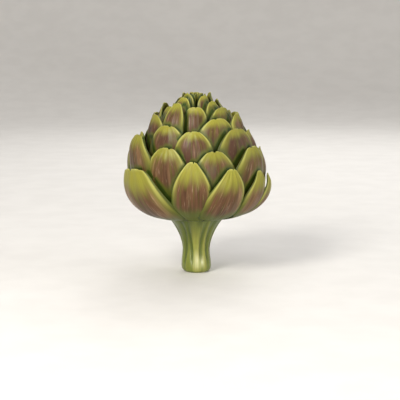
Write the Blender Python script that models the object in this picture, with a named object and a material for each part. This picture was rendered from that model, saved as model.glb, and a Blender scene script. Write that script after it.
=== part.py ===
"""A globe artichoke, cut with a short stem and standing on the cut.

The stem and the heart that it swells into are one piece. The leaves grow from the side of the heart
in rows, each row nested inside the one before and turned against it, and the innermost leaves
close into a bud. Metres, +Z up, origin at the middle of the cut; the front faces -Y.
Headings are angles round Z, 0 at the front and growing towards +X.
"""

import math
import random
from collections import namedtuple

import bmesh
import bpy

MM = 0.001

# Stem: the cut end, its slight swelling, the waist and the flare under the head.
CUT_RADIUS = 7.8 * MM
END_RADIUS = 10.8 * MM
END_ROUNDING = 4 * MM
WAIST_RADIUS = 9.8 * MM
WAIST_HEIGHT = 17 * MM
FLARE_TOP = 40.2 * MM
FLARE_RADIUS = 20 * MM
FLARE_SHARPNESS = 1.8
STEM_SIDES = 28

# Heart: an ellipsoid that carries the leaves on its side.
HEART_HEIGHT = 46.5 * MM
HEART_RADIUS = 21 * MM
HEART_HALF_HEIGHT = 12 * MM

# Head: the dome that the leaf tips lie on.
DOME_HEIGHT = 71 * MM
DOME_RADIUS = 54 * MM
DOME_RISE = 61.5 * MM
DOME_FLATNESS = 1.5 * MM

# Leaf rows from the outside in: leaves in the row, how far up the dome its tips stand and the heading
# of its first leaf in degrees, and the length of a leaf's pointed end in half widths, up to the longest.
Row = namedtuple("Row", "count tip_angle first taper")
ROWS = (
    Row(9, 8, -4.5, 1.5),
    Row(9, 24, -23, 1.2),
    Row(8, 38, -3, 1.0),
    Row(8, 50, -21, 1.0),
    Row(7, 60, -4, 1.1),
    Row(6, 69, 45, 1.2),
    Row(5, 79, -38, 1.3),
)
LONGEST_TAPER = 25 * MM
FIRST_FOOT_HEIGHT = 41 * MM
FOOT_STEP = 2.5 * MM
FOOT_GAP = 0.5 * MM

# Leaves that stand out of their row, by row and leaf: extra heading in degrees, height, outward lean of
# the tip, how much deeper the whole leaf lies, and its half width in degrees where the gaps beside it
# don't set that.
Shift = namedtuple("Shift", "heading lift lean sink spread")
IN_LINE = Shift(0, 0, 0, 0, None)
UNDER = 2.4 * MM
SHIFTS = {
    (1, 1): Shift(1, 9.5 * MM, 0.5 * MM, 0, 15.7),
    (1, 2): Shift(-7, 4 * MM, 1.5 * MM, 0, 15.7),
    (1, 3): Shift(-18, -1 * MM, 0, 0, 12.7),
    (1, 4): Shift(-31, -5 * MM, 0, 0, 12.5),
    (1, 5): Shift(-37.5, 0, 1 * MM, 0, 18),
    (1, 6): Shift(-37.5, 2 * MM, 0, 0, 19),
    (1, 7): Shift(-35.5, -1 * MM, 2 * MM, 0, 20),
    (1, 8): Shift(-33.5, 0, 0, 0, 20),
    (1, 9): Shift(-9.5, 1.5 * MM, 3 * MM, 0, 30),
    (2, 1): Shift(0, 0, 0, UNDER, 17.5),
    (2, 3): Shift(-3, 0, 0, 0, 18.5),
    (2, 4): Shift(-7, -2 * MM, 1 * MM, 0, 13.5),
    (2, 9): Shift(5, 8 * MM, -1 * MM, 0, 17.5),
    (3, 1): Shift(0, 0, 0, 0, 17.5),
    (3, 2): Shift(4, 0, 0, 0, 20),
    (3, 3): Shift(-7, -2 * MM, 1 * MM, 0, 13.5),
    (3, 6): Shift(6, 0, 0, 0, None),
    (3, 7): Shift(10, -4 * MM, 0, 0, 19),
    (3, 8): Shift(17.5, 2 * MM, 0, UNDER, 17.5),
    (4, 1): Shift(-8, 8 * MM, -5 * MM, 0, 14),
    (4, 2): Shift(4.5, -2.6 * MM, 0, 0, 21),
    (4, 3): Shift(-4, 0, 0, 0, 14),
    (5, 1): Shift(1, 0, 0, 0, 15),
    (5, 2): Shift(6, 0, 0, 0, None),
    (5, 3): Shift(0, -4 * MM, 0, 0, None),
    (5, 7): Shift(6, 0, 0, 0, None),
    (6, 5): Shift(0, -3.5 * MM, 0, 0, None),
    (6, 6): Shift(-22, 2.5 * MM, -2.5 * MM, 0, None),
}

# One leaf. Its belly, where it stands out furthest, is below and outside its tip; the pairs are for a
# leaf at the dome's edge and for one at its top.
BELLY_DROP = (6.5 * MM, 21.5 * MM)
BELLY_BULGE = (2.4 * MM, 5.0 * MM)
SECTOR_SHARE = 0.94
WIDEST_SPREAD = 22
NARROW_FOOT = 0.3
WIDEST_SHARE = 0.58
BLUNT_TIP = 0.2
ARCH_FULLNESS = 0.8
EXPOSED_HALF_WIDTHS = 3
TUCK = 2.5 * MM
MID_THICKNESS = 2.0 * MM
EDGE_THICKNESS = 0.9 * MM
NOTCH = 0.9 * MM
COLUMNS = (-1, -0.55, 0, 0.55, 1)
COVERED_STEPS = 4
LINE_STEPS = 60
TAPER_STEPS = (1.0, 0.62, 0.27, 0.0)

# Bud of the innermost leaves.
BUD_FOOT = 59.2 * MM
BUD_TOP = 132.5 * MM
BUD_RADIUS = 10.5 * MM
BUD_BELLY = 112 * MM
BUD_FOOT_SHARE = 0.35

JITTER_SEED = 4
HEADING_JITTER = 0.8
LIFT_JITTER = 1.0 * MM
LEAN_JITTER = 0.6 * MM


def clear_scene():
    for obj in list(bpy.data.objects):
        bpy.data.objects.remove(obj, do_unlink=True)


def make_material(name, colour, roughness):
    material = bpy.data.materials.new(name)
    material.use_nodes = True
    shader = material.node_tree.nodes["Principled BSDF"]
    shader.inputs["Base Color"].default_value = (*colour, 1)
    shader.inputs["Roughness"].default_value = roughness
    return material


def add_object(name, mesh_builder, material):
    mesh = bpy.data.meshes.new(name)
    mesh_builder.normal_update()
    mesh_builder.to_mesh(mesh)
    mesh_builder.free()
    mesh.materials.append(material)
    mesh.shade_smooth()
    obj = bpy.data.objects.new(name, mesh)
    bpy.context.collection.objects.link(obj)
    return obj


def spun(outline, sides):
    """A closed turned solid from an outline of (radius, height), bottom to top, that starts and ends on Z."""
    solid = bmesh.new()
    points = [solid.verts.new((radius, 0, height)) for radius, height in outline]
    edges = [solid.edges.new(pair) for pair in zip(points, points[1:])]
    bmesh.ops.spin(
        solid, geom=points + edges, axis=(0, 0, 1), angle=math.tau, steps=sides, use_merge=True
    )
    bmesh.ops.remove_doubles(solid, verts=solid.verts, dist=0.01 * MM)
    bmesh.ops.recalc_face_normals(solid, faces=solid.faces)
    return solid


def ease(share):
    return share * share * (3 - 2 * share)


def heart_radius(height):
    offset = (height - HEART_HEIGHT) / HEART_HALF_HEIGHT
    return HEART_RADIUS * math.sqrt(max(0.0, 1 - offset * offset))


def stem_outline():
    """From the middle of the cut, up the stem and its flare, and over the heart."""
    outline = [(0, 0), (CUT_RADIUS, 0)]
    for step in range(1, 4):
        turn = math.radians(30 * step)
        radius = CUT_RADIUS + (END_RADIUS - CUT_RADIUS) * math.sin(turn)
        outline.append((radius, END_ROUNDING * (1 - math.cos(turn))))
    for share in (0.4, 0.7, 1.0):
        height = END_ROUNDING + (WAIST_HEIGHT - END_ROUNDING) * share
        outline.append((END_RADIUS + (WAIST_RADIUS - END_RADIUS) * ease(share), height))
    for share in (0.2, 0.4, 0.6, 0.8, 1.0):
        height = WAIST_HEIGHT + (FLARE_TOP - WAIST_HEIGHT) * share
        outline.append((WAIST_RADIUS + (FLARE_RADIUS - WAIST_RADIUS) * share**FLARE_SHARPNESS, height))
    heart_top = HEART_HEIGHT + HEART_HALF_HEIGHT
    for share in (0.1, 0.25, 0.42, 0.6, 0.78, 0.92):
        height = FLARE_TOP + (heart_top - FLARE_TOP) * share
        outline.append((heart_radius(height), height))
    outline.append((0, heart_top))
    return outline


def bud_outline():
    outline = [(0, BUD_FOOT)]
    for share in (0.0, 0.25, 0.5, 0.75, 1.0):
        radius = BUD_RADIUS * (BUD_FOOT_SHARE + (1 - BUD_FOOT_SHARE) * ease(share))
        outline.append((radius, BUD_FOOT + (BUD_BELLY - BUD_FOOT) * share))
    for share in (0.35, 0.65, 0.85, 0.96):
        radius = BUD_RADIUS * math.sqrt(1 - share * share)
        outline.append((radius, BUD_BELLY + (BUD_TOP - BUD_BELLY) * share))
    outline.append((0, BUD_TOP))
    return outline


class Leaf:
    """One leaf's seat: its midline in the (radius, height) plane, and its half width along it."""

    def __init__(self, row_number, heading, spread, lift, lean, sink):
        row = ROWS[row_number]
        angle = math.radians(row.tip_angle)
        self.heading = math.radians(heading)
        foot_height = FIRST_FOOT_HEIGHT + FOOT_STEP * row_number
        foot_radius = max(heart_radius(foot_height), heart_radius(foot_height + MID_THICKNESS)) + FOOT_GAP
        self.foot = (foot_radius, foot_height)
        tip_radius = DOME_RADIUS * math.cos(angle) - DOME_FLATNESS * math.sin(2 * angle) - sink
        self.tip = (tip_radius + lean, DOME_HEIGHT + DOME_RISE * math.sin(angle) + lift)
        drop = BELLY_DROP[0] + (BELLY_DROP[1] - BELLY_DROP[0]) * math.sin(angle)
        bulge = BELLY_BULGE[0] + (BELLY_BULGE[1] - BELLY_BULGE[0]) * math.sin(angle)
        self.belly = (tip_radius + bulge, self.tip[1] - drop)
        self.line = [self.midline(step / LINE_STEPS) for step in range(2 * LINE_STEPS + 1)]
        self.lengths = [0.0]
        for before, after in zip(self.line, self.line[1:]):
            self.lengths.append(self.lengths[-1] + math.dist(before, after))
        self.sector = math.radians(spread)
        self.half_width = self.sector * self.belly[0]
        self.taper = min(row.taper * self.half_width, LONGEST_TAPER)

    def midline(self, share):
        """Foot at 0, belly at 1, tip at 2: a quarter of an ellipse, then a parabola that leans to the tip."""
        if share <= 1:
            turn = share * math.pi / 2
            radius = self.foot[0] + (self.belly[0] - self.foot[0]) * math.sin(turn)
            return radius, self.belly[1] - (self.belly[1] - self.foot[1]) * math.cos(turn)
        rise = share - 1
        radius = self.belly[0] + (self.tip[0] - self.belly[0]) * rise * rise
        return radius, self.belly[1] + (self.tip[1] - self.belly[1]) * rise

    def at(self, below_tip):
        """Point on the midline and outward normal, at a distance below the tip along the leaf."""
        target = max(0.0, self.lengths[-1] - below_tip)
        last = len(self.line) - 2
        index = next((i for i in range(last + 1) if self.lengths[i + 1] >= target), last)
        (r0, z0), (r1, z1) = self.line[index], self.line[index + 1]
        span = self.lengths[index + 1] - self.lengths[index]
        share = (target - self.lengths[index]) / span
        radius, height = r0 + (r1 - r0) * share, z0 + (z1 - z0) * share
        return radius, height, (z1 - z0) / span, (r0 - r1) / span

    def width_at(self, below_tip, radius):
        """Egg-shaped: a pointed arch above the widest place, and a narrow foot below it."""
        rise = min(1.0, below_tip / self.taper)
        arch = BLUNT_TIP + (1 - BLUNT_TIP) * math.sin(rise * math.pi / 2) ** ARCH_FULLNESS
        swell = min(1.0, (self.lengths[-1] - below_tip) / (WIDEST_SHARE * self.lengths[-1]))
        swell = max(NARROW_FOOT, math.sin(swell * math.pi / 2))
        return min(self.half_width * arch * swell, self.sector * radius)

    def point(self, across, below_tip, depth):
        """A point of the leaf; across runs from -1 to 1, and depth goes in from the outer face."""
        radius, height, normal_r, normal_z = self.at(below_tip)
        width = self.width_at(below_tip, radius)
        exposed = ease(max(0.0, 1 - below_tip / (EXPOSED_HALF_WIDTHS * self.half_width)))
        inward = depth + TUCK * exposed * (across * width / self.half_width) ** 2
        angle = self.heading + across * width / radius
        r = radius - inward * normal_r
        z = height - inward * normal_z
        return r * math.sin(angle), -r * math.cos(angle), z

    def rows(self):
        """Distances below the tip at which the leaf's cross-sections stand, from the foot up."""
        covered = self.lengths[-1] - self.taper
        below = [self.taper + covered * (1 - step / COVERED_STEPS) for step in range(COVERED_STEPS)]
        return below + [self.taper * step for step in TAPER_STEPS]


def leaf_solid(leaf):
    """A closed shell: outer face, inner face and the rim between them."""
    solid = bmesh.new()
    faces = []
    for inner in (False, True):
        grid = []
        for below in leaf.rows():
            line = []
            for across in COLUMNS:
                thickness = MID_THICKNESS + (EDGE_THICKNESS - MID_THICKNESS) * across * across
                notch = NOTCH * (1 - abs(across)) if below == 0 else 0
                line.append(solid.verts.new(leaf.point(across, below + notch, thickness if inner else 0)))
            grid.append(line)
        for low, high in zip(grid, grid[1:]):
            for i in range(len(COLUMNS) - 1):
                faces.append(solid.faces.new((low[i], low[i + 1], high[i + 1], high[i])))
    open_edges = [edge for edge in solid.edges if edge.is_boundary]
    bmesh.ops.bridge_loops(solid, edges=open_edges)
    bmesh.ops.recalc_face_normals(solid, faces=solid.faces)
    return solid


def leaves(row_number, dice):
    """The leaves of one row, each as wide as the gaps beside it allow."""
    row = ROWS[row_number]
    stands = []
    for i in range(row.count):
        shift = SHIFTS.get((row_number + 1, i + 1), IN_LINE)
        stands.append(
            Shift(
                heading=row.first + 360 / row.count * i + shift.heading
                + dice.uniform(-HEADING_JITTER, HEADING_JITTER),
                lift=shift.lift + dice.uniform(-LIFT_JITTER, LIFT_JITTER),
                lean=shift.lean + dice.uniform(-LEAN_JITTER, LEAN_JITTER),
                sink=shift.sink,
                spread=shift.spread,
            )
        )
    for i, stand in enumerate(stands):
        before = (stand.heading - stands[i - 1].heading) % 360
        after = (stands[(i + 1) % row.count].heading - stand.heading) % 360
        spread = stand.spread or min(WIDEST_SPREAD, SECTOR_SHARE * min(before, after) / 2)
        yield Leaf(row_number, stand.heading, spread, stand.lift, stand.lean, stand.sink)


def main():
    clear_scene()
    dice = random.Random(JITTER_SEED)
    stem_material = make_material("stem_green", (0.36, 0.42, 0.12), 0.4)
    leaf_material = make_material("leaf_green_purple", (0.30, 0.27, 0.11), 0.45)
    bud_material = make_material("bud_green", (0.42, 0.42, 0.13), 0.45)
    add_object("stem_and_heart", spun(stem_outline(), STEM_SIDES), stem_material)
    add_object("bud", spun(bud_outline(), STEM_SIDES // 2), bud_material)
    for row_number in range(len(ROWS)):
        for i, leaf in enumerate(leaves(row_number, dice)):
            add_object(f"leaf_row{row_number + 1}_{i + 1}", leaf_solid(leaf), leaf_material)


main()
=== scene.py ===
import math
import random

import bpy
import numpy as np
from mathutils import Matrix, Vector, kdtree, noise


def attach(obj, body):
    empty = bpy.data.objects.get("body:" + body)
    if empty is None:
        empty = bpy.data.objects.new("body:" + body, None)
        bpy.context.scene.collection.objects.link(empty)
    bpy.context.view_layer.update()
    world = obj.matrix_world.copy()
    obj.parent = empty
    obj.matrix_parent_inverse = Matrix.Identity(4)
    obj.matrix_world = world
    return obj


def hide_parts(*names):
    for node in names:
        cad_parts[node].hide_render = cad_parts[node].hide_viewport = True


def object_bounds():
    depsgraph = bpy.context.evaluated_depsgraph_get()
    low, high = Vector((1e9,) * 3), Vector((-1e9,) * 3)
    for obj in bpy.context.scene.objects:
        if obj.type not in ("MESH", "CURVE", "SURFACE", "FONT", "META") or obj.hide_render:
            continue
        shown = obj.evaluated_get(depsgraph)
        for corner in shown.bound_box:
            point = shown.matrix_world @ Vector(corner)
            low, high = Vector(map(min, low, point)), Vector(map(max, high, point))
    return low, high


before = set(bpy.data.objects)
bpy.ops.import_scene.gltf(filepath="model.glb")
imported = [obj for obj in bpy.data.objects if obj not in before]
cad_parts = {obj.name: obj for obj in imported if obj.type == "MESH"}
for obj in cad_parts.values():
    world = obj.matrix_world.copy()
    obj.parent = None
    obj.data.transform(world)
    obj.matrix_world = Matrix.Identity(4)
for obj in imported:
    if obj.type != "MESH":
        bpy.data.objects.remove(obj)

cadLow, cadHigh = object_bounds()
mm = 0.001

for startupName in ("Cube", "Light", "Camera"):
    if startupName in bpy.data.objects:
        bpy.data.objects.remove(bpy.data.objects[startupName], do_unlink=True)


def deselectAll():
    if bpy.context.mode != "OBJECT":
        bpy.ops.object.mode_set(mode="OBJECT")
    bpy.ops.object.select_all(action="DESELECT")


def pick(obj):
    deselectAll()
    obj.select_set(True)
    bpy.context.view_layer.objects.active = obj


def readPoints(obj):
    co = np.empty(len(obj.data.vertices) * 3, np.float32)
    obj.data.vertices.foreach_get("co", co)
    return co.reshape(-1, 3).astype(np.float64)


def writePoints(obj, points):
    obj.data.vertices.foreach_set("co", points.astype(np.float32).ravel())
    obj.data.update()


def writeAttribute(obj, label, values):
    layer = obj.data.attributes.new(label, "FLOAT", "POINT")
    layer.data.foreach_set("value", np.asarray(values, np.float32))


def selectWhere(obj, wanted):
    # selects the vertices that wanted(points) picks out, and leaves edit mode on
    bpy.ops.object.mode_set(mode="OBJECT")
    mesh = obj.data
    chosen = wanted(readPoints(obj))
    mesh.edges.foreach_set("select", np.zeros(len(mesh.edges), bool))
    mesh.polygons.foreach_set("select", np.zeros(len(mesh.polygons), bool))
    mesh.vertices.foreach_set("select", chosen)
    bpy.ops.object.mode_set(mode="EDIT")


def applyModifiers(obj):
    pick(obj)
    for modifier in list(obj.modifiers):
        bpy.ops.object.modifier_apply(modifier=modifier.name)


def ease(x):
    x = np.clip(x, 0.0, 1.0)
    return x * x * (3 - 2 * x)


# Leaf pads: flat leaves two units wide, with the foot at y = -1 and the tip at y = 1, modelled once each.
# tipWidth: width at the tip. power: how slowly the leaf widens from there, so less is rounder. from and
# reach: where it starts to narrow towards the foot, and over what share. foot: width there. dips: places of
# the small dip in the tip, one for each pad of the kind.
plainPad = {"columns": 24, "rows": 38, "from": 0.6, "reach": 0.4, "foot": 0.30}
padLooks = {
    "egg": {
        "tipWidth": 0.15, "power": 0.92, "dips": (0.35, -0.3),
        "from": 0.54, "reach": 0.24, "foot": 0.46,
    },
    "scale": {"tipWidth": 0.20, "power": 0.72, "dips": (0.0, 0.5, -0.5)},
    "lobe": {"tipWidth": 0.14, "power": 0.66, "dips": (0.4,), "from": 0.5},
    "fan": {"tipWidth": 0.34, "power": 0.7, "dips": (0.1,)},
    "broad": {
        "tipWidth": 0.34, "power": 0.62, "dips": (-0.2,),
        "columns": 26, "from": 0.54, "reach": 0.3, "foot": 0.34,
    },
    "point": {"tipWidth": 0.16, "power": 0.76, "dips": (0.3, -0.4), "columns": 18, "rows": 32},
    "small": {"tipWidth": 0.30, "power": 0.6, "dips": (0.0,), "columns": 12, "rows": 20, "foot": 0.40},
}
padLooks = {kind: {**plainPad, **look} for kind, look in padLooks.items()}
padForm = {
    "archShare": 0.5,           # share of the rows in the pointed end
    "thickness": 2.1 * mm,
    "rimShare": 0.42,           # rim thickness over middle thickness
    "rimFade": 1.4,             # how near the rim the leaf stays thick
    "tipDip": 0.05,             # depth of the dip, in pad units
    "dipHalf": 0.18,            # half width of the dip over the tip's
    "dipColumns": 1.2,          # but at least about one column of the grid
    "cornerFrom": 0.7,          # the tip is drawn back past this share of its half width
    "cornerDrop": 0.022,
}
tipEdge = 0.99                  # the tip's own row of points lies past this y


def padWidth(look, fromTip):
    # half width of a pad at a share of the way from its tip to its foot
    arch = min(1.0, fromTip / padForm["archShare"])
    width = look["tipWidth"] + (1 - look["tipWidth"]) * math.sin(arch * math.pi / 2) ** look["power"]
    narrowing = min(1.0, max(0.0, (fromTip - look["from"]) / look["reach"]))
    return width * (look["foot"] + (1 - look["foot"]) * math.sqrt(1 - narrowing * narrowing))


def shapeOutline(pad, look, dipAt):
    # narrows the grid row by row, rounds the tip's corners and presses the dip in
    columns, rows, tip = look["columns"], look["rows"], look["tipWidth"]
    for row in range(rows + 1):
        y = 1 - 2 * row / rows
        selectWhere(pad, lambda co: abs(co[:, 1] - y) < 0.5 / rows)
        bpy.ops.transform.resize(value=(padWidth(look, row / rows), 1, 1), center_override=(0, y, 0))
    selectWhere(pad, lambda co: (co[:, 1] > tipEdge) & (abs(co[:, 0]) > padForm["cornerFrom"] * tip))
    bpy.ops.transform.translate(value=(0, -padForm["cornerDrop"], 0))
    dipHalf = max(padForm["dipHalf"], padForm["dipColumns"] / columns) * tip
    selectWhere(pad, lambda co: (co[:, 1] > tipEdge) & (abs(co[:, 0] - dipAt * tip) < dipHalf))
    bpy.ops.transform.translate(value=(0, -padForm["tipDip"], 0))
    bpy.ops.object.mode_set(mode="OBJECT")


def makeLeafPad(kind, dipAt):
    look = padLooks[kind]
    deselectAll()
    bpy.ops.mesh.primitive_grid_add(x_subdivisions=look["columns"], y_subdivisions=look["rows"], size=2)
    pad = bpy.context.object
    pad.name = "pad_" + kind
    shapeOutline(pad, look, dipAt)
    middle = pad.vertex_groups.new(name="middle")
    for v in pad.data.vertices:
        side = abs(v.co.x) / padWidth(look, (1 - v.co.y) / 2)
        nearRim = 1 - (1 - max(side, v.co.y)) * padForm["rimFade"]
        middle.add([v.index], float(1 - ease(nearRim)), "REPLACE")
    wall = pad.modifiers.new("wall", "SOLIDIFY")
    wall.thickness = padForm["thickness"]
    wall.offset = -1
    wall.vertex_group = "middle"
    wall.thickness_vertex_group = padForm["rimShare"]
    smooth = pad.modifiers.new("smooth", "SUBSURF")
    smooth.levels = smooth.render_levels = 1
    applyModifiers(pad)
    pad.vertex_groups.clear()
    pick(pad)
    bpy.ops.object.shade_smooth()
    return pad


# How the leaves of each row look. drop: belly below tip (mm). tuck: how far the sides curve in (mm).
# shown: length that is seen (mm). wide: width over the CAD leaf's. arch: length of the pointed end over
# half the width. hug: how much of the gap behind the tip is closed.
rowLooks = [
    {"pad": "egg", "drop": 8.6, "tuck": 3.6, "shown": 44, "wide": 1.03, "arch": 1.7, "hug": 0.7},
    {"pad": "scale", "drop": 12.6, "tuck": 3.8, "shown": 27, "wide": 1.10, "arch": 1.2, "hug": 0.5},
    {"pad": "scale", "drop": 15.7, "tuck": 4.0, "shown": 23, "wide": 1.20, "arch": 1.0, "hug": 0.4},
    {"pad": "scale", "drop": 18.0, "tuck": 4.0, "shown": 24, "wide": 1.20, "arch": 0.85, "hug": 0.35},
    {"pad": "scale", "drop": 19.5, "tuck": 3.6, "shown": 22, "wide": 1.15, "arch": 1.0, "hug": 0.35},
    {"pad": "lobe", "drop": 20.5, "tuck": 3.4, "shown": 17, "wide": 1.2, "arch": 1.4, "hug": 0.45},
    {"pad": "lobe", "drop": 21.2, "tuck": 3.0, "shown": 14, "wide": 1.2, "arch": 1.3, "hug": 0.4},
]
# Leaves that differ from their row. cant: how much higher the right of the tip is (mm). skew: how far the
# foot end turns (degrees). lean: how far the tip turns (degrees). proud: how far it all stands out (mm).
plainLeaf = {"cant": 0.0, "skew": 0.0, "lean": 0.0, "proud": 0.0}
leafLooks = {
    "leaf_row1_1": {"proud": 0.5},
    "leaf_row1_2": {"wide": 1.08, "skew": -5, "proud": 1.0},
    "leaf_row1_3": {"wide": 1.1, "tuck": 4.4},
    "leaf_row1_4": {"pad": "lobe", "arch": 1.5, "wide": 1.1, "hug": 0.9},
    "leaf_row1_9": {
        "pad": "broad", "arch": 1.1, "shown": 50, "tuck": 3.2, "cant": 3, "lean": -5, "proud": 1.2,
    },
    "leaf_row2_1": {"wide": 1.28, "arch": 1.3, "tuck": 3.4, "skew": -4, "lean": -4, "proud": 1.4},
    "leaf_row2_2": {"wide": 1.14, "lean": -1},
    "leaf_row2_3": {"wide": 1.3, "lean": 1, "proud": 1.2},
    "leaf_row2_4": {"pad": "lobe", "wide": 1.35, "hug": 0.95, "lean": -4},
    "leaf_row2_9": {
        "pad": "lobe", "arch": 1.35, "shown": 32, "wide": 1.15, "hug": 0.1, "lean": -3, "proud": 0.6,
    },
    "leaf_row3_1": {"wide": 1.12, "proud": 0.6},
    "leaf_row3_2": {"wide": 1.3, "tuck": 3.2, "proud": 0.6},
    "leaf_row3_3": {"pad": "lobe", "wide": 1.4, "hug": 0.95, "lean": -4},
    "leaf_row3_8": {"wide": 1.42, "skew": -2, "lean": -3},
    "leaf_row4_1": {"pad": "point", "arch": 2.1, "wide": 1.0, "shown": 30, "hug": 1.0},
    "leaf_row4_2": {"wide": 1.3},
    "leaf_row4_8": {"pad": "lobe", "wide": 1.4, "hug": 0.1},
    "leaf_row5_1": {"pad": "fan", "arch": 0.9, "wide": 1.2, "shown": 20},
    "leaf_row5_2": {"pad": "lobe", "wide": 1.45, "lean": -3},
    "leaf_row5_7": {"pad": "lobe", "wide": 1.3},
}
# What all leaves share when they are rolled onto their seats.
seatLooks = {
    "seenTo": 1.35,             # the leaf turns into its hidden foot up to this many shown lengths
    "tipBand": 0.2 * mm,        # points this near the CAD leaf's top count as its tip
    "tipGap": 1.3 * mm,         # rim thickness and air between a tip and the row behind it
    "fullHalf": 15 * mm,        # half width that tuck is given for
    "mostTuck": 1.25,           # the widest leaves tuck in by no more than this times as much
    "thinnest": 0.75,           # thickness share of a very narrow leaf
    "bowl": 0.7,                # share of the tuck that curves evenly, the rest is near the edges
    "hugOver": 0.8,             # share of the shown length that leans in
    "twist": 0.4,               # how much deeper one side lies, at most (mm)
    "ribCounts": (4, 5, 5, 6),
    "ribHeight": 0.14 * mm,
    "ribFade": 6 * mm,          # the ribs grow over this length below the tip
    "skinDepth": 0.5 * mm,      # only points this near the outside are ribbed
    "lip": 0.4 * mm,            # how far the tip's lip turns out
    "lipLength": 3 * mm,
    "sway": 1.4,                # how far a tip turns by chance, at most (degrees)
    "tilt": 0.4,                # how far a tip slants by chance, at most (mm)
    "neck": 0.35,               # the foot wraps no tighter than this share of the belly's radius
    "rimDepth": 0.3 * mm,
    "rimSide": 0.95,
    "rimTip": 0.012,
    "rimLength": 1.3,           # shown lengths
}


def readSeat(node, look):
    # where the CAD leaf stands: its heading, its half width as an angle, and its foot, belly and tip
    points = readPoints(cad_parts[node])
    radius = np.hypot(points[:, 0], points[:, 1])
    rough = math.atan2(points[:, 0].mean(), -points[:, 1].mean())
    turn = (np.arctan2(points[:, 0], -points[:, 1]) - rough + math.pi) % math.tau - math.pi
    tipHeight = points[:, 2].max()
    return {
        "heading": rough + (turn.min() + turn.max()) / 2,
        "spread": (turn.max() - turn.min()) / 2,
        "foot": (radius.min(), points[:, 2].min()),
        "belly": (radius.max(), tipHeight - look["drop"] * mm),
        "tip": (radius[points[:, 2] > tipHeight - seatLooks["tipBand"]].max(), tipHeight),
    }


def midline(seat, steps=80):
    # foot to belly along a quarter of an ellipse, then belly to tip along a parabola
    (footR, footZ), (bellyR, bellyZ), (tipR, tipZ) = seat["foot"], seat["belly"], seat["tip"]
    turn = np.linspace(0, math.pi / 2, steps)
    rise = np.linspace(0, 1, steps)[1:]
    r = np.concatenate([footR + (bellyR - footR) * np.sin(turn), bellyR + (tipR - bellyR) * rise ** 2])
    z = np.concatenate([bellyZ - (bellyZ - footZ) * np.cos(turn), bellyZ + (tipZ - bellyZ) * rise])
    return r, z


def gapBehindTip(seat, nextSeats):
    # distance from a leaf's tip in to the row behind it
    tipR, tipZ = seat["tip"]
    behind = [np.interp(tipZ, midline(other)[1], midline(other)[0]) for other in nextSeats]
    return max(0.0, tipR - float(np.mean(behind)) - seatLooks["tipGap"]) if behind else 0.0


def layAlong(seat, y, arch):
    # where the pad's points come on the midline: share and length from the tip, place and outward normal
    r, z = midline(seat)
    length = np.concatenate([[0], np.cumsum(np.hypot(np.diff(r), np.diff(z)))])
    fromTip = np.clip((1 - y) / 2, 0, 1)
    archShare = padForm["archShare"]
    onArch = fromTip / archShare * arch
    onRest = arch + (fromTip - archShare) / (1 - archShare) * (length[-1] - arch)
    below = np.where(fromTip < archShare, onArch, onRest)
    along = length[-1] - below
    slopeR = np.interp(along, length, np.gradient(r, length))
    slopeZ = np.interp(along, length, np.gradient(z, length))
    size = np.hypot(slopeR, slopeZ)
    place = np.interp(along, length, r), np.interp(along, length, z)
    return fromTip, below, place, (slopeZ / size, -slopeR / size)


def ribs(side, below, seen, depth, dice):
    # shallow lengthwise ribs that fade at tip and foot
    s = seatLooks
    count = dice.choice(s["ribCounts"])
    phase = dice.uniform(0, math.tau)
    height = s["ribHeight"] * ease(below / s["ribFade"]) * seen * (depth < s["skinDepth"])
    return height * np.cos(side * count * math.pi + phase) * (1 - side ** 4)


def seatLeaf(pad, name, seat, look, sit, dice):
    # copies the pad and rolls the copy onto its seat. Returns the leaf and which of its points are rim
    s = seatLooks
    leaf = bpy.data.objects.new(name, pad.data.copy())
    bpy.context.scene.collection.objects.link(leaf)
    x, y, depth = readPoints(leaf).T
    depth = -depth
    half = seat["spread"] * seat["belly"][0] * look["wide"]
    arch = look["arch"] * half
    shown = look["shown"] * mm
    fromTip, below, (lineR, lineZ), (normalR, normalZ) = layAlong(seat, y, arch)
    seen = ease(s["seenTo"] - below / shown)        # 1 on the part that shows, 0 on the hidden foot
    side = x / np.array([padWidth(padLooks[look["pad"]], f) for f in fromTip])

    scale = min(s["mostTuck"], half / s["fullHalf"])
    inward = depth * (s["thinnest"] + (1 - s["thinnest"]) * scale)
    inward = inward + look["tuck"] * mm * scale * seen * (s["bowl"] * x ** 2 + (1 - s["bowl"]) * x ** 6)
    inward = inward + sit * ease(1 - below / (s["hugOver"] * shown))
    inward = inward - look["proud"] * mm * seen
    inward = inward + dice.uniform(-s["twist"], s["twist"]) * mm * x * seen
    inward = inward - ribs(side, below, seen, depth, dice)
    inward = inward - s["lip"] * ease(1 - below / s["lipLength"])

    lean = math.radians(look["lean"] + dice.uniform(-s["sway"], s["sway"]))
    turn = x * half / np.maximum(lineR, s["neck"] * seat["belly"][0])
    turn = turn + lean * ease(1 - below / shown) + math.radians(look["skew"]) * ease(below / shown)
    slant = (look["cant"] + dice.uniform(-s["tilt"], s["tilt"])) * mm
    lineZ = lineZ + slant * x * ease(1 - below / arch)
    heading = seat["heading"] + turn
    outR = lineR - inward * normalR
    outZ = lineZ - inward * normalZ
    writePoints(leaf, np.stack([outR * np.sin(heading), -outR * np.cos(heading), outZ], axis=1))
    writeAttribute(leaf, "fromTip", below / shown)
    writeAttribute(leaf, "side", side)
    writeAttribute(leaf, "tone", np.full(len(x), dice.uniform(-1, 1)))
    onEdge = (abs(side) > s["rimSide"]) | (fromTip < s["rimTip"])
    rim = (depth < s["rimDepth"]) & onEdge & (below < s["rimLength"] * shown)
    return leaf, rim


# Painted crease shade is worked out on a dome round the head, for an eye that looks a little down.
creaseShadeLooks = {
    "reach": 5.5 * mm,          # how far behind a rim the painted crease shade fades out
    "step": 0.3 * mm,           # how much further out the rim in front is
    "slope": 0.2,               # how steeply the eye looks down
    "domeFoot": 71 * mm,
    "domeTop": 140 * mm,
    "domeRadius": 56 * mm,
    "highest": 0.98,            # share of the dome's height past which it gets no narrower
}


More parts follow.
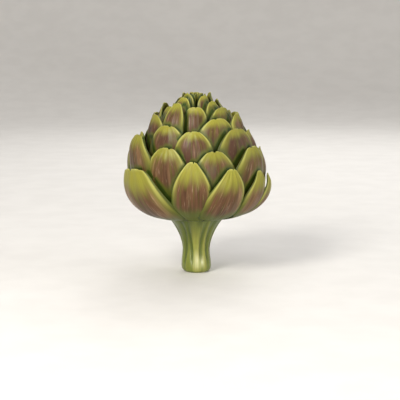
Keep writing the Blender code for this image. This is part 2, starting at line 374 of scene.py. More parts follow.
def pushOut(points):
    # moves points out onto the dome, and gives their own radius too
    c = creaseShadeLooks
    radius = np.hypot(points[:, 0], points[:, 1])
    height = points[:, 2] - c["slope"] * radius
    rise = np.clip((height - c["domeFoot"]) / (c["domeTop"] - c["domeFoot"]), 0, c["highest"])
    scale = c["domeRadius"] * np.sqrt(1 - rise ** 2) / np.maximum(radius, 1e-5)
    return np.stack([points[:, 0] * scale, points[:, 1] * scale, height], axis=1), radius


def writeCreaseShade(piece, rims):
    # painted shade: how close each point is to the rim of a leaf in front of it, from 0 to 1
    rimPlaces, rimRadius = pushOut(rims)
    tree = kdtree.KDTree(len(rims))
    for index, point in enumerate(rimPlaces):
        tree.insert(point, index)
    tree.balance()
    places, radius = pushOut(readPoints(piece))
    found = [tree.find(point) for point in places]
    far = np.array([hit[2] for hit in found])
    behind = rimRadius[[hit[1] for hit in found]] > radius + creaseShadeLooks["step"]
    near = np.clip(1 - far / creaseShadeLooks["reach"], 0, 1)
    writeAttribute(piece, "creaseShade", np.where(behind, near, 0))


def newGroup(name, inputs, outputs):
    group = bpy.data.node_groups.new(name, "ShaderNodeTree")
    for label, kind, value in inputs:
        socket = group.interface.new_socket(label, in_out="INPUT", socket_type=kind)
        if value is not None:
            socket.default_value = value
    for label, kind in outputs:
        group.interface.new_socket(label, in_out="OUTPUT", socket_type=kind)
    return group, group.nodes.new("NodeGroupInput"), group.nodes.new("NodeGroupOutput")


def addNode(tree, kind, **values):
    node = tree.nodes.new(kind)
    for key, value in values.items():
        setattr(node, key, value)
    return node


def mathNode(tree, operation, a, b=None, clamp=False):
    node = addNode(tree, "ShaderNodeMath", operation=operation, use_clamp=clamp)
    for socket, value in zip(node.inputs, (a, b)):
        if value is None:
            continue
        if isinstance(value, (int, float)):
            socket.default_value = value
        else:
            tree.links.new(value, socket)
    return node.outputs[0]


def rangeNode(tree, value, fromMin, fromMax, toMin=0.0, toMax=1.0, smooth=True):
    node = addNode(tree, "ShaderNodeMapRange")
    node.interpolation_type = "SMOOTHSTEP" if smooth else "LINEAR"
    tree.links.new(value, node.inputs["Value"])
    limits = {"From Min": fromMin, "From Max": fromMax, "To Min": toMin, "To Max": toMax}
    for label, number in limits.items():
        node.inputs[label].default_value = number
    return node.outputs["Result"]


def mixColour(tree, factor, a, b, mode="MIX"):
    node = addNode(tree, "ShaderNodeMix", data_type="RGBA", blend_type=mode)
    node.clamp_factor = True
    for socket, value in ((node.inputs[0], factor), (node.inputs[6], a), (node.inputs[7], b)):
        if isinstance(value, (int, float)):
            socket.default_value = value
        elif isinstance(value, (tuple, list)):
            socket.default_value = (*value, 1)
        else:
            tree.links.new(value, socket)
    return node.outputs[2]


def rampNode(tree, value, stops):
    node = addNode(tree, "ShaderNodeValToRGB")
    ramp = node.color_ramp
    ramp.interpolation = "EASE"
    while len(ramp.elements) < len(stops):
        ramp.elements.new(0.5)
    for element, (place, colour) in zip(ramp.elements, stops):
        element.position = place
        element.color = (*colour, 1)
    tree.links.new(value, node.inputs[0])
    return node.outputs[0]


def readAttribute(tree, label):
    return addNode(tree, "ShaderNodeAttribute", attribute_name=label).outputs["Fac"]


def darkenBy(tree, colour, shade):
    # multiplies a colour by a grey value
    grey = addNode(tree, "ShaderNodeCombineColor")
    for socket in grey.inputs[:3]:
        tree.links.new(shade, socket)
    return mixColour(tree, 1.0, colour, grey.outputs[0], "MULTIPLY")


def makeFibres():
    # long streaks along V of the coordinate it is given: Mask is broad, Fine is thin
    group, given, out = newGroup(
        "plantFibres",
        [
            ("Vector", "NodeSocketVector", None),
            ("Across", "NodeSocketFloat", 14.0),
            ("Along", "NodeSocketFloat", 1.2),
            ("Seed", "NodeSocketFloat", 0.0),
        ],
        [("Mask", "NodeSocketFloat"), ("Fine", "NodeSocketFloat")],
    )
    parts = addNode(group, "ShaderNodeSeparateXYZ")
    group.links.new(given.outputs["Vector"], parts.inputs[0])
    across = mathNode(group, "MULTIPLY", parts.outputs[0], given.outputs["Across"])
    along = mathNode(group, "MULTIPLY", parts.outputs[1], given.outputs["Along"])
    joined = addNode(group, "ShaderNodeCombineXYZ")
    group.links.new(across, joined.inputs[0])
    group.links.new(along, joined.inputs[1])
    group.links.new(given.outputs["Seed"], joined.inputs[2])
    for label, scale, detail in (("Mask", 1.0, 1.5), ("Fine", 3.1, 4.0)):
        texture = addNode(group, "ShaderNodeTexNoise", noise_dimensions="3D")
        texture.inputs["Scale"].default_value = scale
        texture.inputs["Detail"].default_value = detail
        texture.inputs["Roughness"].default_value = 0.5
        group.links.new(joined.outputs[0], texture.inputs["Vector"])
        group.links.new(texture.outputs["Fac"], out.inputs[label])
    return group


fibres = makeFibres()
noiseRange = (0.3, 0.7)         # where nearly all of a noise value lies


def newMaterial(name):
    material = bpy.data.materials.new(name)
    material.use_nodes = True
    return material, material.node_tree, material.node_tree.nodes["Principled BSDF"]


def placeFibres(tree, vector, across, along, seed):
    node = addNode(tree, "ShaderNodeGroup", node_tree=fibres)
    tree.links.new(vector, node.inputs["Vector"])
    node.inputs["Across"].default_value = across
    node.inputs["Along"].default_value = along
    if isinstance(seed, (int, float)):
        node.inputs["Seed"].default_value = seed
    else:
        tree.links.new(seed, node.inputs["Seed"])
    return node.outputs["Mask"], node.outputs["Fine"]


fleshDepth = 2 * mm


def addFlesh(shader, weight):
    # a little light passes through the skin
    shader.inputs["Subsurface Weight"].default_value = weight
    shader.inputs["Subsurface Scale"].default_value = fleshDepth


def addBump(tree, shader, height, strength, distance):
    bump = addNode(tree, "ShaderNodeBump")
    bump.inputs["Strength"].default_value = strength
    bump.inputs["Distance"].default_value = distance
    tree.links.new(height, bump.inputs["Height"])
    tree.links.new(bump.outputs[0], shader.inputs["Normal"])


leafSkin = {
    "tip": (0.26, 0.245, 0.028),
    "shoulder": (0.19, 0.18, 0.024),
    # the base colour is partly the leaf's own deep green and partly painted shade low on the leaf
    "footGreenAndShade": (0.075, 0.092, 0.010),
    # the hem and crease colours are painted shade under the rim of the leaf in front
    "shadeHem": (0.085, 0.098, 0.012),
    "creaseShade": (0.022, 0.044, 0.004),
    "blushDark": (0.050, 0.016, 0.007),
    "blush": (0.106, 0.045, 0.021),
    "blushPale": (0.23, 0.135, 0.062),
    # the line colour is a painted highlight along the fibres
    "line": (0.36, 0.27, 0.17),
    # the rim colour is partly the leaf's real paler margin and partly a painted highlight
    "rim": (0.40, 0.39, 0.10),
    # the edge colour is painted shade where the leaf's side tucks in under its neighbours
    "edge": (0.032, 0.050, 0.004),
    "roughness": (0.36, 0.50),
}
# The leaves higher up are darker and redder.
upperSkin = {
    "blushDark": (0.040, 0.012, 0.006),
    "blush": (0.078, 0.032, 0.018),
    "blushPale": (0.16, 0.085, 0.045),
    "line": (0.27, 0.19, 0.11),
}
# Where the blush starts and ends, as shares of the shown length and, for its sides, of the half width,
# and how strong it is.
blushLooks = {
    "outer": {"from": (0.20, 0.46), "to": (0.98, 0.74), "sides": (0.93, 0.62), "amount": 0.96},
    "inner": {"from": (0.14, 0.42), "to": (1.15, 0.85), "sides": (0.86, 0.46), "amount": 0.95},
    "upper": {"from": (0.12, 0.38), "to": (1.2, 0.9), "sides": (0.88, 0.50), "amount": 0.97},
    "bud": {"from": (0.3, 0.8), "to": (1.6, 1.1), "sides": (0.7, 0.3), "amount": 0.4},
}
leafGrain = {
    "broad": (7.0, 1.1),                    # streaks across and along the leaf
    "thin": (19.0, 1.7),
    "seedStep": 23.0,
    "wobble": 0.3,                          # how far the streaks move the ends of the colours
    "sideWobble": 0.5,                      # and, as a share of that, its sides
    "shoulderAt": 0.38,
    "baseAt": 0.85,
    "streaky": (0.30, 0.50, 0.62, 1.0),
    "blushStops": (0.36, 0.5, 0.66),
    "lines": (0.6, 0.72, 0.0, 0.5),
    "tone": (-1.0, 1.0, 0.88, 1.08),
    "hairShade": (0.3, 0.7, 0.93, 1.06),
    "specular": 0.26,
    "subsurface": 0.06,
    "bumpStrength": 0.3,
    "bumpDistance": 0.0006,
    "bumpShares": (0.7, 0.3),               # of the thin streaks and the hair in the bump
}
# The pale rim, partly the real paler margin and partly a painted highlight, and the dark edge, painted
# shade where the side tucks in, by share of the half width and of the shown length, and the hem and core of
# the painted crease shade under the leaf in front by closeness to its rim.
leafBorders = {
    "rimSide": (0.76, 0.88),
    "rimReach": (0.7, 0.2),
    "rimTip": (0.05, 0.0),
    "rimAndHighlightAmount": 0.8,
    "edge": (0.90, 0.96, 0.0, 0.85),
    "shadeHem": (0.12, 0.62, 0.0, 0.85),
    "creaseShade": (0.58, 0.88, 0.0, 0.92),
}


def blushMask(tree, place, offSide, wobble, thin, look):
    # the middle of the leaf, with streaky edges
    start = rangeNode(tree, place, *look["from"])
    end = rangeNode(tree, place, *look["to"])
    sideWobble = mathNode(tree, "MULTIPLY", wobble, leafGrain["sideWobble"])
    sides = rangeNode(tree, mathNode(tree, "ADD", offSide, sideWobble), *look["sides"])
    mask = mathNode(tree, "MULTIPLY", mathNode(tree, "MULTIPLY", start, end), sides)
    mask = mathNode(tree, "MULTIPLY", mask, rangeNode(tree, thin, *leafGrain["streaky"]))
    return mathNode(tree, "MULTIPLY", mask, look["amount"], clamp=True)


def addBorders(tree, colour, fromTip, offSide, skin):
    # pale rim round the tip, partly real margin and partly painted highlight, then the dark edge of painted
    # shade, and a green hem and dark core of painted shade under the leaf in front
    b = leafBorders
    rimSide = rangeNode(tree, offSide, *b["rimSide"])
    rimReach = rangeNode(tree, fromTip, *b["rimReach"])
    rimTip = rangeNode(tree, fromTip, *b["rimTip"])
    rim = mathNode(tree, "MAXIMUM", mathNode(tree, "MULTIPLY", rimSide, rimReach), rimTip)
    colour = mixColour(tree, mathNode(tree, "MULTIPLY", rim, b["rimAndHighlightAmount"]), colour, skin["rim"])
    colour = mixColour(tree, rangeNode(tree, offSide, *b["edge"]), colour, skin["edge"])
    creaseShade = readAttribute(tree, "creaseShade")
    colour = mixColour(tree, rangeNode(tree, creaseShade, *b["shadeHem"]), colour, skin["shadeHem"])
    return mixColour(tree, rangeNode(tree, creaseShade, *b["creaseShade"]), colour, skin["creaseShade"])


def makeLeafMaterial(name, skin, blushLook):
    g = leafGrain
    material, tree, shader = newMaterial(name)
    uv = addNode(tree, "ShaderNodeUVMap", uv_map="UVMap").outputs[0]
    fromTip = readAttribute(tree, "fromTip")
    offSide = mathNode(tree, "ABSOLUTE", readAttribute(tree, "side"))
    tone = readAttribute(tree, "tone")
    seed = mathNode(tree, "MULTIPLY", tone, g["seedStep"])
    broad, fine = placeFibres(tree, uv, *g["broad"], seed)
    thin, hair = placeFibres(tree, uv, *g["thin"], seed)

    # green ground, from the yellow tip to the deep green foot, whose darkest green is partly painted shade
    wobble = mathNode(tree, "MULTIPLY", mathNode(tree, "SUBTRACT", broad, 0.5), g["wobble"])
    place = mathNode(tree, "ADD", fromTip, wobble)
    groundStops = [(0.0, skin["tip"]), (g["shoulderAt"], skin["shoulder"]), (g["baseAt"], skin["footGreenAndShade"])]
    ground = rampNode(tree, place, groundStops)
    # brown-purple blush, with a few pale lines in it that are painted highlights along the fibres
    blush = blushMask(tree, place, offSide, wobble, thin, blushLook)
    streaks = mathNode(tree, "MULTIPLY", mathNode(tree, "ADD", broad, thin), 0.5)
    blushColours = (skin["blushDark"], skin["blush"], skin["blushPale"])
    blushColour = rampNode(tree, streaks, list(zip(g["blushStops"], blushColours)))
    colour = mixColour(tree, blush, ground, blushColour)
    lines = mathNode(tree, "MULTIPLY", rangeNode(tree, hair, *g["lines"]), blush)
    colour = mixColour(tree, lines, colour, skin["line"])
    colour = addBorders(tree, colour, fromTip, offSide, skin)
    # each leaf is a little lighter or darker than the next
    shade = rangeNode(tree, tone, *g["tone"], smooth=False)
    hairShade = rangeNode(tree, hair, *g["hairShade"])
    colour = darkenBy(tree, colour, mathNode(tree, "MULTIPLY", shade, hairShade))
    tree.links.new(colour, shader.inputs["Base Color"])

    tree.links.new(rangeNode(tree, fine, *noiseRange, *skin["roughness"]), shader.inputs["Roughness"])
    shader.inputs["Specular IOR Level"].default_value = g["specular"]
    addFlesh(shader, g["subsurface"])
    thinPart, hairPart = (
        mathNode(tree, "MULTIPLY", value, share) for value, share in zip((thin, hair), g["bumpShares"])
    )
    addBump(tree, shader, mathNode(tree, "ADD", thinPart, hairPart), g["bumpStrength"], g["bumpDistance"])
    return material


stemLooks = {
    "sides": 200,
    "rings": 96,
    "sameHeight": 2e-5,                     # CAD points this near in height are one ring
    "top": 50 * mm,
    "cutInsets": (0.18, 0.18, 0.2, 0.2),    # rings on the cut face, as shares of its radius
    "smoothAngle": 50,                      # degrees
    "swell": 0.35 * mm,                     # slow unevenness
    "swellScale": (110, 110, 45),
    "crown": 0.3 * mm,                      # how far a rib stands up between its grooves
    "crownRise": 8 * mm,
    "turnOver": 38 * mm,                    # the grooves turn from foot to head over this height
    "sway": 0.05,
    "swayLength": 9 * mm,
    "grooveWidth": 1.1 * mm,
    "grooveGrowth": (0.8, 0.5),             # width share at the foot, and what the climb adds
    "grooveStart": 9 * mm,                  # a groove deepens over this height
    "grooveEnd": (30 * mm, 12 * mm, 0.6),   # it fades from here, over this height, by this share
    "cutBand": 0.07,                        # nothing moves on the cut face inside this share of its edge
    "cutRise": 2.5 * mm,
    # the dark colour is the stem's darker green, and also painted shade under the head
    "darkGreenAndShade": (0.085, 0.115, 0.010),
    "colour": (0.155, 0.18, 0.018),
    "pale": (0.25, 0.255, 0.042),
    # the bloom colour is a painted highlight
    "highlightPatch": (0.50, 0.50, 0.23),
    # the groove colour is painted shade, in the grooves and under the lowest leaves
    "grooveShade": (0.052, 0.082, 0.007),
    "cut": (0.55, 0.56, 0.30),
    "cutRing": (0.40, 0.43, 0.17),
    "cutRingRadii": (0.0062, 0.0075),
    "cutHeights": (0.0007, 0.0001),
    "ribStops": (0.1, 0.45, 1.0),
    "streakShare": 0.6,
    "highlightPatchAmount": 0.85,
    # painted shade darkens the stem under the head between these heights (m)
    "shadeUnderHead": (0.020, 0.042, 0.0, 0.7),
    "grooveShadeAmount": 0.75,
    "creaseShadeAmount": 0.85,
    "shade": (0.3, 0.7, 0.84, 1.1),
    "roughness": (0.28, 0.42),
    "specular": 0.4,
    "coat": (0.2, 0.14),                    # weight and roughness
    "bump": (0.3, 0.0005),                  # strength and distance
    "unroll": (0.16, 9.0),                  # scales of the angle and the height for the fibres
    "broad": (22.0, 2.0, 3.0),              # fibres across and along, and their seed
    "thin": (80.0, 3.0, 7.0),
    "hairShare": 0.5,                       # of the finest fibres in the bump
}
# Grooves in the stem, in order round it: heading at the foot and under the head (degrees), depth (mm),
# height where it starts (mm), and how pale the rib after it is, partly a painted highlight.
stemGrooves = [
    (-53, -36, 0.9, 3, 0.25),
    (-17, -20, 1.0, 4, 1.0),
    (22, 20, 0.9, 5, 0.75),
    (51, 42, 0.8, 3, 0.1),
    (76, 66, 0.5, 12, 0.5),
    (98, 90, 0.9, 5, 0.8),
    (130, 121, 0.8, 8, 0.3),
    (162, 152, 0.9, 4, 0.9),
    (188, 192, 0.5, 12, 0.4),
    (213, 221, 0.9, 6, 0.8),
    (246, 250, 0.8, 5, 0.3),
    (278, 292, 0.9, 6, 0.05),
]
# Painted highlights as pale patches low on the stem: heading (degrees), height, half width and half height
# (mm).
stemHighlightPatches = [
    (1, 9, 2.6, 6.0),
    (26, 8, 1.6, 3.6),
    (112, 10, 2.4, 5.0),
    (196, 9, 2.6, 5.5),
    (262, 8, 2.0, 4.0),
]


def stemOutline():
    # radius of the CAD stem at each of its heights
    points = readPoints(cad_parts["stem_and_heart"])
    radius = np.hypot(points[:, 0], points[:, 1])
    heights = np.unique(np.round(points[:, 2], 5))
    widest = np.array([radius[abs(points[:, 2] - h) < stemLooks["sameHeight"]].max() for h in heights])
    return heights, widest


def turnStem():
    # the cut face, and rings extruded up from its edge along the CAD stem's outline
    s = stemLooks
    heights, widest = stemOutline()
    flat = widest[0]
    deselectAll()
    bpy.ops.mesh.primitive_circle_add(vertices=s["sides"], radius=flat, fill_type="NGON")
    stem = bpy.context.object
    stem.name = "stem"
    bpy.ops.object.mode_set(mode="EDIT")
    bpy.ops.mesh.select_all(action="SELECT")
    for inset in s["cutInsets"]:
        bpy.ops.mesh.inset(thickness=flat * inset)
    selectWhere(stem, lambda co: np.hypot(co[:, 0], co[:, 1]) > 0.999 * flat)
    previous, last = flat, 0.0
    for ring in range(1, s["rings"] + 1):
        height = s["top"] * ring / s["rings"]
        radius = float(np.interp(height, heights, widest))
        growth = radius / previous
        bpy.ops.mesh.extrude_edges_move(TRANSFORM_OT_translate={"value": (0, 0, height - last)})
        bpy.ops.transform.resize(value=(growth, growth, 1), center_override=(0, 0, height))
        previous, last = radius, height
    bpy.ops.mesh.edge_face_add()
    bpy.ops.mesh.select_all(action="SELECT")
    bpy.ops.mesh.normals_make_consistent(inside=False)
    bpy.ops.object.mode_set(mode="OBJECT")
    return stem, flat


def turnBetween(angle, centre):
    # signed turn from a heading to each angle, in radians
    return (angle - centre + math.pi) % math.tau - math.pi


def grooveShapes(angle, radius, z, flat):
    # how much each point lies in a groove (painted shade), on a pale rib (partly painted highlight), and
    # how far in it goes
    s = stemLooks
    climb = ease(z / s["turnOver"])
    centres = [math.radians(g[0]) + math.radians(g[1] - g[0]) * climb for g in stemGrooves]
    footShare, climbShare = s["grooveGrowth"]
    width = s["grooveWidth"] * (footShare + climbShare * climb)
    endAt, endOver, endBy = s["grooveEnd"]
    grooveShade, paleRibAndHighlight, inward = np.zeros(len(z)), np.zeros(len(z)), np.zeros(len(z))
    for i, (foot, _, depth, start, pale) in enumerate(stemGrooves):
        centre = centres[i] + s["sway"] * np.sin(z / s["swayLength"] + foot)
        away = turnBetween(angle, centre) * np.maximum(radius, flat)
        fade = ease((z - start * mm) / s["grooveStart"]) * (1 - endBy * ease((z - endAt) / endOver))
        profile = np.exp(-(away / width) ** 2) * fade
        grooveShade = np.maximum(grooveShade, profile)
        gap = (centres[(i + 1) % len(centres)] - centres[i]) % math.tau
        across = ((angle - centres[i]) % math.tau) / gap
        crown = np.where(across < 1, np.sin(np.clip(across, 0, 1) * math.pi), 0)
        paleRibAndHighlight = np.maximum(paleRibAndHighlight, pale * crown)
        inward = inward + depth * mm * profile - s["crown"] * crown * ease(z / s["crownRise"])
    return grooveShade, paleRibAndHighlight, inward


def highlightPatchShapes(angle, radius, z):
    highlightPatch = np.zeros(len(z))
    for heading, height, halfWidth, halfHeight in stemHighlightPatches:
        across = turnBetween(angle, math.radians(heading)) * radius / (halfWidth * mm)
        up = (z - height * mm) / (halfHeight * mm)
        highlightPatch = highlightPatch + np.exp(-across ** 2 - up ** 2)
    return highlightPatch


def makeStem():
    s = stemLooks
    stem, flat = turnStem()
    x, y, z = readPoints(stem).T
    radius = np.hypot(x, y)
    angle = np.arctan2(x, -y)
    grooveShade, paleRibAndHighlight, inward = grooveShapes(angle, radius, z, flat)
    across, deep, up = s["swellScale"]
    lumps = np.array([noise.noise(Vector((a * across, b * deep, c * up))) for a, b, c in zip(x, y, z)])
    onSide = ease((radius - (1 - s["cutBand"]) * flat) / (s["cutBand"] * flat)) * ease(z / s["cutRise"])
    change = (s["swell"] * lumps - inward) * onSide
    factor = np.where(radius > 1e-6, (radius + change) / np.maximum(radius, 1e-6), 1)
    writePoints(stem, np.stack([x * factor, y * factor, z], axis=1))
    writeAttribute(stem, "grooveShade", grooveShade * onSide)
    writeAttribute(stem, "paleRibAndHighlight", paleRibAndHighlight)
    writeAttribute(stem, "highlightPatch", highlightPatchShapes(angle, radius, z) * onSide)
    pick(stem)
    bpy.ops.object.shade_smooth_by_angle(angle=math.radians(s["smoothAngle"]))
    return stem


def makeStemMaterial():
    s = stemLooks
    material, tree, shader = newMaterial("stemSkin")
    links = tree.links
    place = addNode(tree, "ShaderNodeTexCoord").outputs["Object"]
    parts = addNode(tree, "ShaderNodeSeparateXYZ")
    links.new(place, parts.inputs[0])
    angle = mathNode(tree, "ARCTAN2", parts.outputs[0], parts.outputs[1])
    joined = addNode(tree, "ShaderNodeCombineXYZ")
    angleScale, heightScale = s["unroll"]
    links.new(mathNode(tree, "MULTIPLY", angle, angleScale), joined.inputs[0])
    links.new(mathNode(tree, "MULTIPLY", parts.outputs[2], heightScale), joined.inputs[1])
    broad, fine = placeFibres(tree, joined.outputs[0], *s["broad"])
    thin, hair = placeFibres(tree, joined.outputs[0], *s["thin"])
    streaks = mathNode(tree, "MULTIPLY", broad, s["streakShare"])
    # paleness takes in the pale rib crowns, partly real paler ribs and partly painted highlight
    paleness = mathNode(tree, "ADD", streaks, readAttribute(tree, "paleRibAndHighlight"))
    colour = rampNode(tree, paleness, list(zip(s["ribStops"], (s["darkGreenAndShade"], s["colour"], s["pale"]))))
    # painted highlight: pale patches low on the stem
    highlightPatch = mathNode(tree, "MULTIPLY", readAttribute(tree, "highlightPatch"), s["highlightPatchAmount"])
    colour = mixColour(tree, highlightPatch, colour, s["highlightPatch"])
    # painted shade: darker green in the grooves, under the head and below the lowest leaves' rims
    shadeUnderHead = rangeNode(tree, parts.outputs[2], *s["shadeUnderHead"])
    colour = mixColour(tree, shadeUnderHead, colour, s["darkGreenAndShade"])
    paintedGrooveShade = mathNode(tree, "MULTIPLY", readAttribute(tree, "grooveShade"), s["grooveShadeAmount"])
    colour = mixColour(tree, paintedGrooveShade, colour, s["grooveShade"])
    creaseShade = mathNode(tree, "MULTIPLY", readAttribute(tree, "creaseShade"), s["creaseShadeAmount"])
    colour = mixColour(tree, creaseShade, colour, s["grooveShade"])
    colour = darkenBy(tree, colour, rangeNode(tree, thin, *s["shade"]))
    # the cut face underneath is pale, with a darker ring near its edge
    away = addNode(tree, "ShaderNodeVectorMath", operation="LENGTH")
    flatPlace = addNode(tree, "ShaderNodeCombineXYZ")
    links.new(parts.outputs[0], flatPlace.inputs[0])
    links.new(parts.outputs[1], flatPlace.inputs[1])
    links.new(flatPlace.outputs[0], away.inputs[0])
    ring = rangeNode(tree, away.outputs["Value"], *s["cutRingRadii"])
    cut = mixColour(tree, ring, s["cut"], s["cutRing"])
    onCut = rangeNode(tree, parts.outputs[2], *s["cutHeights"])
    colour = mixColour(tree, onCut, colour, cut)
    links.new(colour, shader.inputs["Base Color"])
    links.new(rangeNode(tree, fine, *noiseRange, *s["roughness"]), shader.inputs["Roughness"])
    shader.inputs["Specular IOR Level"].default_value = s["specular"]
    shader.inputs["Coat Weight"].default_value, shader.inputs["Coat Roughness"].default_value = s["coat"]
    addFlesh(shader, leafGrain["subsurface"])
    height = mathNode(tree, "ADD", thin, mathNode(tree, "MULTIPLY", hair, s["hairShare"]))
    addBump(tree, shader, height, *s["bump"])
    return material


# The bud's small leaves, ring by ring: tip radius and tip height below the top (mm), half width (mm),
# heading of the first (degrees), and length seen (mm).
budRings = [
    {"count": 7, "tipR": 10.4, "down": 7.4, "half": 3.2, "first": -22, "shown": 8},
    {"count": 6, "tipR": 6.2, "down": 0.9, "half": 3.3, "first": 30, "shown": 12},
    {"count": 3, "tipR": 2.2, "down": 1.6, "half": 2.2, "first": 40, "shown": 9},
]
budLook = {"pad": "small", "tuck": 10.0, "wide": 1.0, "arch": 1.2, **plainLeaf}
budForm = {
    "bulge": 1.3 * mm,          # belly outside the tip
    "footShare": 0.6,           # foot radius over belly radius
    "length": 30 * mm,
    "bellyDown": 6 * mm,
    "strayR": 0.4,              # how far a tip strays out, up (mm) and round (degrees), at most
    "strayZ": 0.6,
    "strayTurn": 5,
}


def makeBud(pad, top, dice):
    form = budForm
    pieces = []
    for ring in budRings:
        for i in range(ring["count"]):
            tipR = (ring["tipR"] + dice.uniform(-form["strayR"], form["strayR"])) * mm
            tipZ = top - (ring["down"] + dice.uniform(-form["strayZ"], form["strayZ"])) * mm
            heading = ring["first"] + 360 / ring["count"] * i
            bellyR = tipR + form["bulge"]
            seat = {
                "heading": math.radians(heading + dice.uniform(-form["strayTurn"], form["strayTurn"])),
                "spread": ring["half"] * mm / bellyR,
                "foot": (bellyR * form["footShare"], tipZ - form["length"]),
                "belly": (bellyR, tipZ - form["bellyDown"]),
                "tip": (tipR, tipZ),
            }
            look = {**budLook, "shown": ring["shown"]}
            pieces.append(seatLeaf(pad, f"budLeaf{i}", seat, look, 0.0, dice)[0])
    pick(pieces[0])
    for piece in pieces:
        piece.select_set(True)
    bpy.ops.object.join()
    bud = bpy.context.object
    bud.name = "budLeaves"
    return bud


stageLooks = {
    "flatRadius": 1.1,
    "bendRadius": 0.8,
    "wallTop": 2.0,
    "sides": 96,
    "bendSteps": 16,
    "grainScale": 30.0,
    "roughness": 0.85,
    "paint": ((0.72, 0.70, 0.67), (0.75, 0.73, 0.70)),
}


def makeStage():
    # a round floor whose rim curves up into a wall
    s = stageLooks
    deselectAll()
    bpy.ops.mesh.primitive_circle_add(vertices=s["sides"], radius=s["flatRadius"], fill_type="NGON")
    floor = bpy.context.object
    floor.name = "floor"
    selectWhere(floor, lambda co: np.full(len(co), True))
    bpy.ops.mesh.select_mode(type="EDGE")
    lastR, lastZ = s["flatRadius"], 0.0
    for step in range(1, s["bendSteps"] + 2):
        turn = min(1.0, step / s["bendSteps"]) * math.pi / 2
        radius = s["flatRadius"] + s["bendRadius"] * math.sin(turn)
        height = s["bendRadius"] * (1 - math.cos(turn)) if step <= s["bendSteps"] else s["wallTop"]
        growth = radius / lastR
        bpy.ops.mesh.extrude_edges_move(TRANSFORM_OT_translate={"value": (0, 0, height - lastZ)})
        bpy.ops.transform.resize(value=(growth, growth, 1), center_override=(0, 0, height))
        lastR, lastZ = radius, height
    bpy.ops.mesh.select_all(action="SELECT")
    bpy.ops.mesh.select_mode(type="VERT")
    bpy.ops.mesh.normals_make_consistent(inside=True)
    bpy.ops.object.mode_set(mode="OBJECT")
    bpy.ops.object.shade_smooth()
    material, tree, shader = newMaterial("paleFloor")
    grain = addNode(tree, "ShaderNodeTexNoise")
    grain.inputs["Scale"].default_value = s["grainScale"]
    tree.links.new(addNode(tree, "ShaderNodeTexCoord").outputs["Object"], grain.inputs["Vector"])
    tint = rampNode(tree, grain.outputs["Fac"], [(0.3, s["paint"][0]), (0.7, s["paint"][1])])
    tree.links.new(tint, shader.inputs["Base Color"])
    shader.inputs["Roughness"].default_value = s["roughness"]
    floor.data.materials.append(material)


def aim(obj, target):
    direction = Vector(target) - obj.location
    obj.rotation_euler = direction.to_track_quat("-Z", "Y").to_euler()


lamps = [
    {"name": "key", "at": (-0.50, -0.80, 0.70), "size": 0.35, "power": 10.6, "colour": (1.0, 0.97, 0.92)},
    {"name": "front", "at": (0.20, -0.95, 0.12), "size": 0.30, "power": 3.6, "colour": (1.0, 0.98, 0.95)},
    {"name": "right", "at": (0.9, -0.2, 0.45), "size": 0.6, "power": 2.2, "colour": (0.96, 0.98, 1.0)},
    {"name": "back", "at": (0.2, 0.8, 0.7), "size": 0.6, "power": 4.0, "colour": (1.0, 1.0, 1.0)},
    {"name": "sky", "at": (0, 0, 1.9), "size": 2.4, "power": 12, "colour": (1.0, 1.0, 1.0)},
]
worldLight = {"colour": (0.95, 0.96, 1.0), "strength": 0.22}
headMiddle = (0, 0, 0.075)


def makeLights():
    for lamp in lamps:
        data = bpy.data.lights.new(lamp["name"], "AREA")
        data.size = lamp["size"]
        data.energy = lamp["power"]
        data.color = lamp["colour"]
        obj = bpy.data.objects.new(lamp["name"], data)
        bpy.context.scene.collection.objects.link(obj)
        obj.location = lamp["at"]
        aim(obj, headMiddle)
    world = bpy.context.scene.world or bpy.data.worlds.new("studio")
    bpy.context.scene.world = world
    world.use_nodes = True
    world.node_tree.nodes["Background"].inputs[0].default_value = (*worldLight["colour"], 1)
    world.node_tree.nodes["Background"].inputs[1].default_value = worldLight["strength"]


cameraLooks = {"lens": 120, "distance": 0.981, "elevation": 9.0, "target": (0.0027, 0, 0.0530)}


def makeCamera():
    c = cameraLooks
    data = bpy.data.cameras.new("camera")
    data.lens = c["lens"]
    data.sensor_width = 36
    data.clip_start = 0.01
    camera = bpy.data.objects.new("camera", data)
    bpy.context.scene.collection.objects.link(camera)
    tilt = math.radians(c["elevation"])
    target = Vector(c["target"])
    camera.location = target + c["distance"] * Vector((0, -math.cos(tilt), math.sin(tilt)))
    aim(camera, target)
    bpy.context.scene.camera = camera


def finishPiece(piece, node, material):
    piece.data.materials.clear()
    piece.data.materials.append(material)
    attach(piece, "root")
    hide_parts(node)


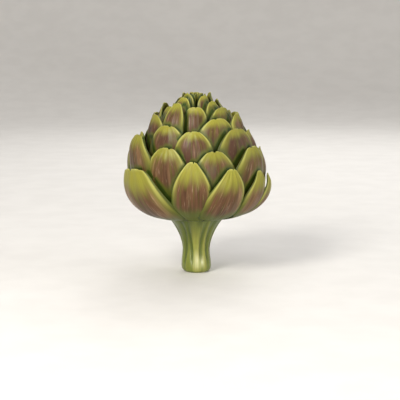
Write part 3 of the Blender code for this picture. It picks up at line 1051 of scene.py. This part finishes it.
def seatRow(row, seats, looks, pads, material, dice):
    # seats one row's leaves. Returns them, and the points of their rims
    behind = list(seats[row + 1].values()) if row + 1 < len(seats) else []
    leaves, rims = [], []
    for i, (node, seat) in enumerate(seats[row].items()):
        look = looks[node]
        sit = look["hug"] * gapBehindTip(seat, behind)
        choice = pads[look["pad"]]
        pad = choice[(i * 2 + row) % len(choice)]       # neighbours take different pads
        leaf, rim = seatLeaf(pad, f"leafRow{row + 1}No{i + 1}", seat, look, sit, dice)
        finishPiece(leaf, node, material)
        leaves.append(leaf)
        rims.append(readPoints(leaf)[rim])
    return leaves, rims


def build():
    dice = random.Random(11)
    pads = {kind: [makeLeafPad(kind, dip) for dip in look["dips"]] for kind, look in padLooks.items()}
    print("leaf pads modelled")

    looks, seats = {}, []
    for row, rowLook in enumerate(rowLooks):
        names = sorted(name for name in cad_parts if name.startswith(f"leaf_row{row + 1}_"))
        looks.update({name: {**plainLeaf, **rowLook, **leafLooks.get(name, {})} for name in names})
        seats.append({name: readSeat(name, looks[name]) for name in names})
    outer = makeLeafMaterial("outerLeafSkin", leafSkin, blushLooks["outer"])
    inner = makeLeafMaterial("innerLeafSkin", leafSkin, blushLooks["inner"])
    upper = makeLeafMaterial("upperLeafSkin", {**leafSkin, **upperSkin}, blushLooks["upper"])
    stem = makeStem()
    print("stem turned and grooved")

    rimsInFront = []
    for row in range(len(rowLooks)):
        material = (outer, inner, upper)[min(row, 2)]
        leaves, rims = seatRow(row, seats, looks, pads, material, dice)
        for i, leaf in enumerate(leaves):
            beside = [rims[i - 1], rims[(i + 1) % len(rims)]]
            writeCreaseShade(leaf, np.concatenate(beside + rimsInFront))
        rimsInFront.extend(rims)
        if row == 0:
            writeCreaseShade(stem, np.concatenate(rims))
        print("row", row + 1, "seated,", len(leaves), "leaves")

    bud = makeBud(pads["small"][0], cadHigh.z, dice)
    finishPiece(bud, "bud", makeLeafMaterial("budLeafSkin", leafSkin, blushLooks["bud"]))
    writeCreaseShade(bud, np.concatenate(rimsInFront))
    print("bud drawn together")
    finishPiece(stem, "stem_and_heart", makeStemMaterial())

    for pad in [pad for group in pads.values() for pad in group]:
        bpy.data.objects.remove(pad, do_unlink=True)
    makeStage()
    makeLights()
    makeCamera()
    bpy.context.scene.view_settings.view_transform = "Standard"
    print("stage, lights and camera set")


build()
